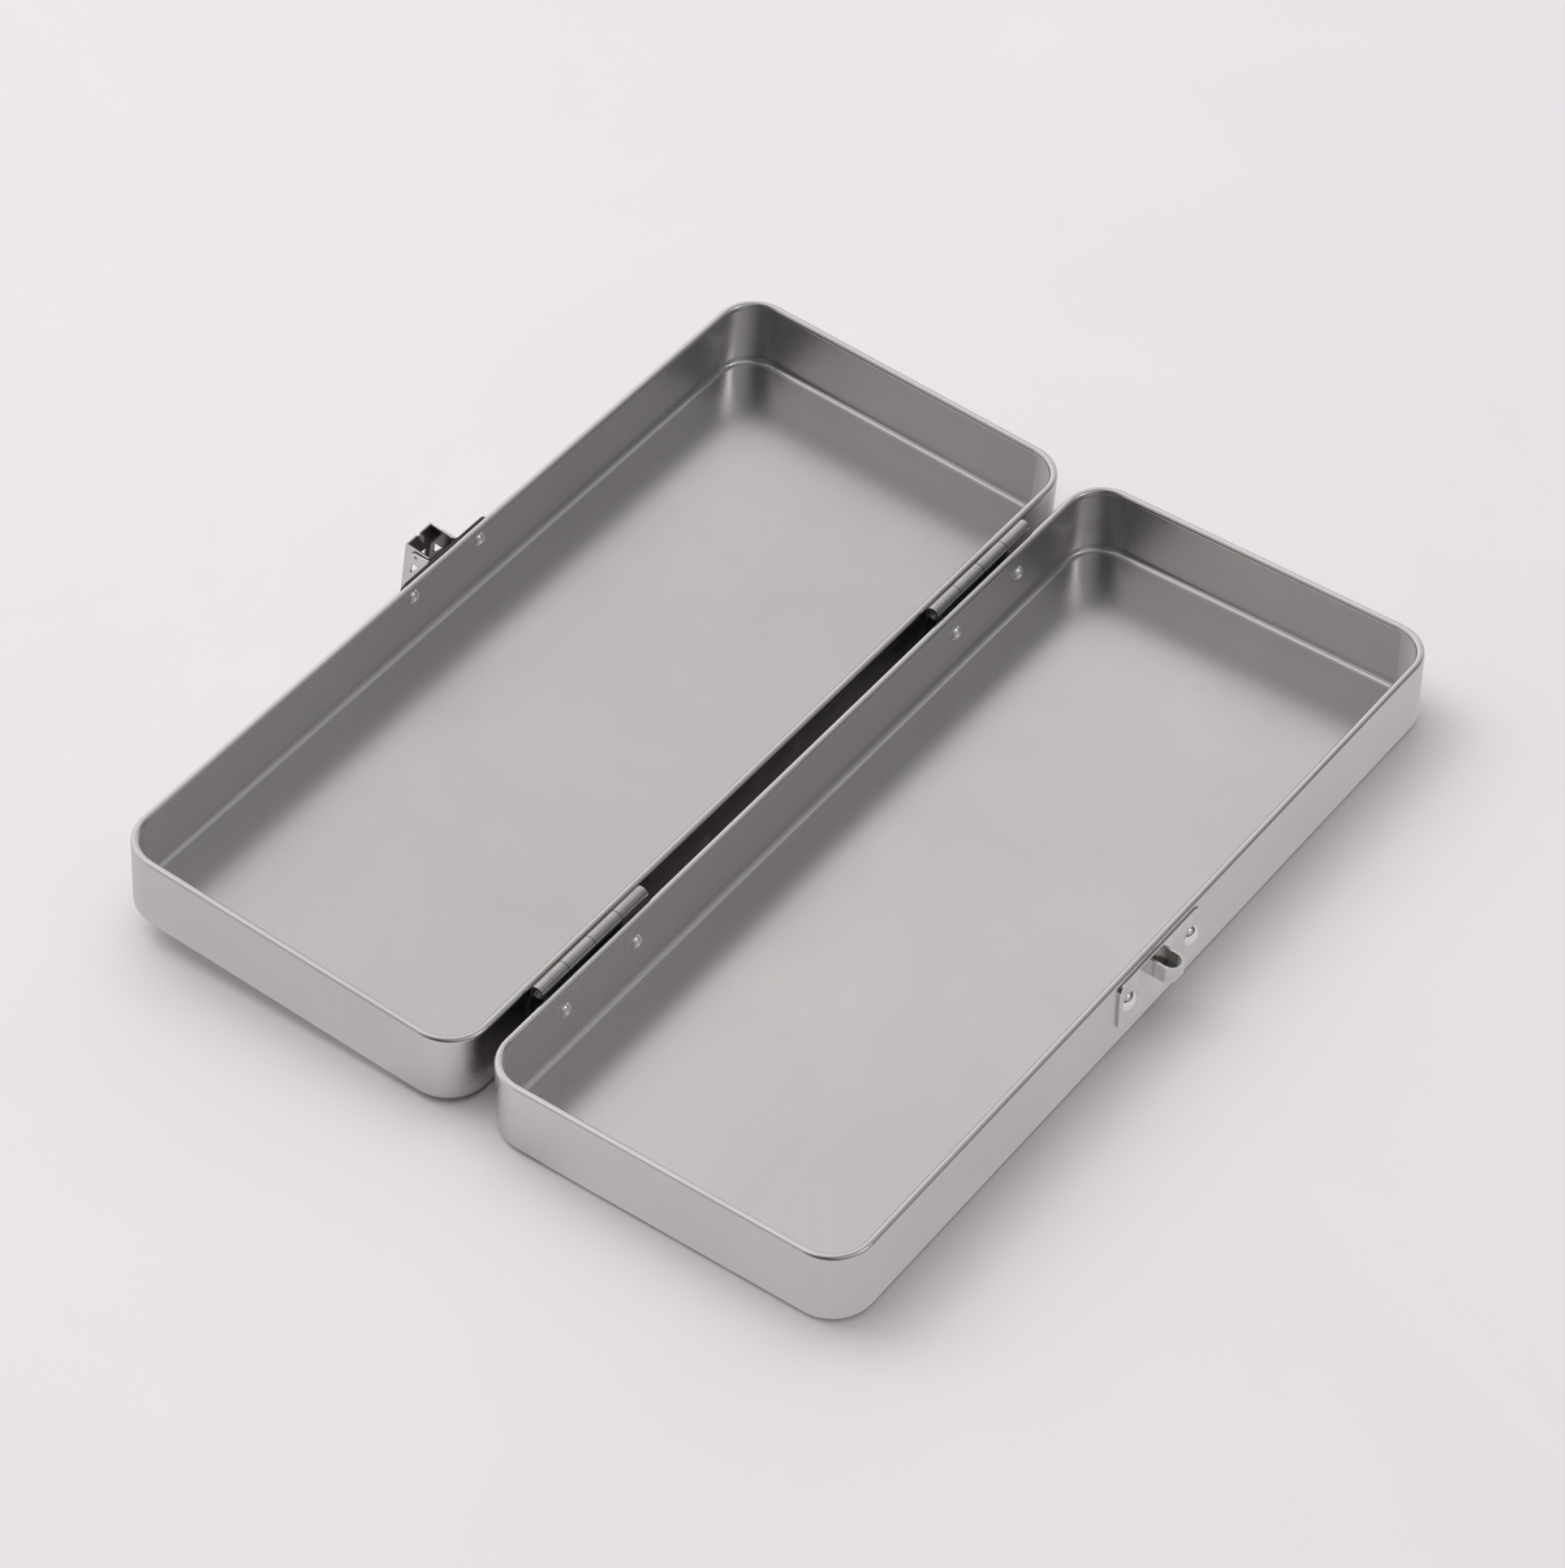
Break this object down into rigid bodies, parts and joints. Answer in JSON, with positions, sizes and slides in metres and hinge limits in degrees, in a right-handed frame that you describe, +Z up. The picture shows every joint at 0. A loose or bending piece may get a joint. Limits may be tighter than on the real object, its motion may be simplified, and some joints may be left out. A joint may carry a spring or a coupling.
{
  "type": "hinged pencil tin",
  "caption": "Long shallow hinged metal tin of two equal trays with rolled rims, riveted hinges and a swinging hasp that fits over a catch.",
  "frame": {"origin": "middle of the base tray's underside", "axes": "+X along the hinge line, +Y from the base tray towards the open lid, +Z up"},
  "size_m": [0.2, 0.1838, 0.0244],
  "materials": {
    "satin_tinplate": "satin silver tinplate with a soft blurred sheen",
    "bright_nickel": "bright nickel plate",
    "steel_wire": "drawn steel wire"
  },
  "bodies": {
    "base": {"base_tray": "satin_tinplate", "base_leaf_left": "bright_nickel", "base_leaf_right": "bright_nickel", "hinge_pin_left": "steel_wire", "hinge_pin_right": "steel_wire", "base_rivet_1": "bright_nickel", "base_rivet_2": "bright_nickel", "base_rivet_3": "bright_nickel", "base_rivet_4": "bright_nickel", "catch_plate": "bright_nickel", "catch_rivet_left": "bright_nickel", "catch_rivet_right": "bright_nickel"},
    "lid": {"lid_tray": "satin_tinplate", "lid_leaf_left": "bright_nickel", "lid_leaf_right": "bright_nickel", "lid_rivet_1": "bright_nickel", "lid_rivet_2": "bright_nickel", "lid_rivet_3": "bright_nickel", "lid_rivet_4": "bright_nickel", "latch_plate": "bright_nickel", "latch_rivet_left": "bright_nickel", "latch_rivet_right": "bright_nickel", "hasp_pin_left": "bright_nickel", "hasp_pin_right": "bright_nickel"},
    "hasp": {"hasp": "bright_nickel"}
  },
  "joints": [
    {"name": "lid_hinge", "type": "hinge", "parent": "base", "child": "lid", "pos_m": [0, 0.0434, 0.01775], "axis": [1, 0, 0], "range_deg": [0, 176]},
    {"name": "hasp_pivot", "type": "hinge", "parent": "lid", "child": "hasp", "pos_m": [0, 0.13227, 0.02221], "axis": [1, 0, 0], "range_deg": [-5, 175]}
  ]
}
